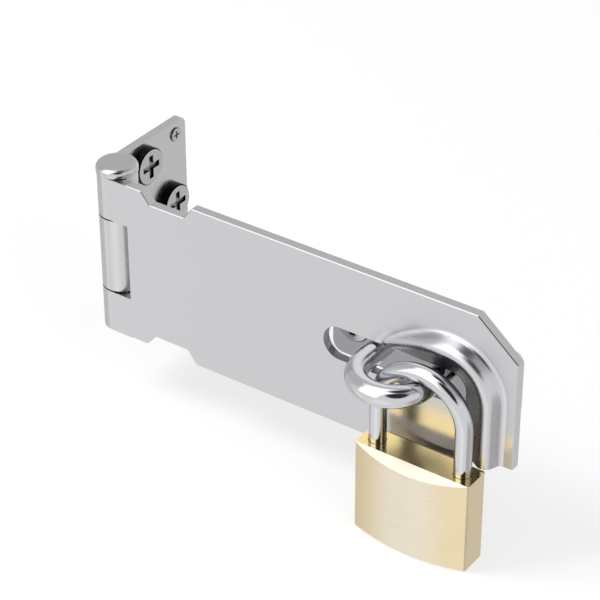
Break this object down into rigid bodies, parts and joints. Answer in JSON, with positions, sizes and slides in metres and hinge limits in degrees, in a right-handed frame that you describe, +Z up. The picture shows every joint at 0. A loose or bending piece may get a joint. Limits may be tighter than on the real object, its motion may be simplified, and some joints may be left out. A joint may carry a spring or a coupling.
{
  "type": "hasp latch",
  "caption": "Slotted, hooded hasp arm on a knuckle hinge, shut over a round staple and held by a small brass padlock whose steel shackle passes through the staple.",
  "frame": {"origin": "on the back of the staple plate, midway between the staple's legs and level with the middle of the arm's slot", "axes": "+X along the arm away from its hinge, +Y into the door, +Z up"},
  "size_m": [0.1255, 0.0521, 0.0648],
  "materials": {
    "arm_steel": "satin, bright-plated",
    "leaf_steel": "satin, bright-plated",
    "plate_steel": "satin, bright-plated",
    "rod_chrome": "polished",
    "shackle_chrome": "polished",
    "screw_steel": "bright-plated",
    "lock_brass": "brushed faces, polished edges",
    "inner_brass": "turned",
    "spring_steel": "bright wire"
  },
  "bodies": {
    "hasp": {"hasp_arm": "arm_steel", "hinge_pin": "leaf_steel", "staple_plate": "plate_steel", "staple_rod": "rod_chrome", "staple_screw_left": "screw_steel", "staple_screw_right": "screw_steel"},
    "leaf": {"hinge_leaf": "leaf_steel", "leaf_screw_upper": "screw_steel", "leaf_screw_middle": "screw_steel", "leaf_screw_lower": "screw_steel", "leaf_corner_screw_upper": "screw_steel", "leaf_corner_screw_lower": "screw_steel"},
    "shackle": {"shackle": "shackle_chrome"},
    "lock_case": {"lock_body": "lock_brass", "shackle_spring": "spring_steel", "shackle_stop_pin": "spring_steel", "bolt_hole_plug": "inner_brass", "plug_retainer": "spring_steel", "driver_pin_1": "inner_brass", "driver_pin_2": "inner_brass", "driver_pin_3": "inner_brass", "driver_pin_4": "inner_brass", "pin_spring_1": "spring_steel", "pin_spring_2": "spring_steel", "pin_spring_3": "spring_steel", "pin_spring_4": "spring_steel", "pin_hole_plug_1": "inner_brass", "pin_hole_plug_2": "inner_brass", "pin_hole_plug_3": "inner_brass", "pin_hole_plug_4": "inner_brass"},
    "plug": {"lock_plug": "inner_brass", "lock_cam": "inner_brass", "key_pin_1": "inner_brass", "key_pin_2": "inner_brass", "key_pin_3": "inner_brass", "key_pin_4": "inner_brass"},
    "bolt_left": {"bolt_left": "inner_brass"},
    "bolt_right": {"bolt_right": "inner_brass"}
  },
  "joints": [
    {"name": "leaf_swing", "type": "hinge", "parent": "hasp", "child": "leaf", "pos_m": [-0.0878, -0.0051, 0], "axis": [0, 0, 1], "range_deg": [-88, 170]},
    {"name": "lock_swing", "type": "hinge", "parent": "hasp", "child": "shackle", "pos_m": [0.0091, -0.0173, 0.0012], "axis": [-1, 0, 0], "range_deg": [0, 15]},
    {"name": "lock_drop", "type": "slide", "parent": "shackle", "child": "lock_case", "axis": [0, 0, -1], "range_m": [0, 0.01], "deforming": ["shackle_spring"]},
    {"name": "plug_turn", "type": "hinge", "parent": "lock_case", "child": "plug", "pos_m": [0.0091, -0.0173, -0.03], "axis": [0, 0, 1], "range_deg": [0, 90.1]},
    {"name": "bolt_left_slide", "type": "slide", "parent": "lock_case", "child": "bolt_left", "axis": [1, 0, 0], "range_m": [0, 0.00191]},
    {"name": "bolt_right_slide", "type": "slide", "parent": "lock_case", "child": "bolt_right", "axis": [-1, 0, 0], "range_m": [0, 0.00191]}
  ],
  "couplings": [
    {"joint": "plug_turn", "follows": "lock_drop", "rad_per_m": 157.08},
    {"joint": "bolt_left_slide", "follows": "lock_drop", "ratio": 0.19},
    {"joint": "bolt_right_slide", "follows": "lock_drop", "ratio": 0.19}
  ]
}
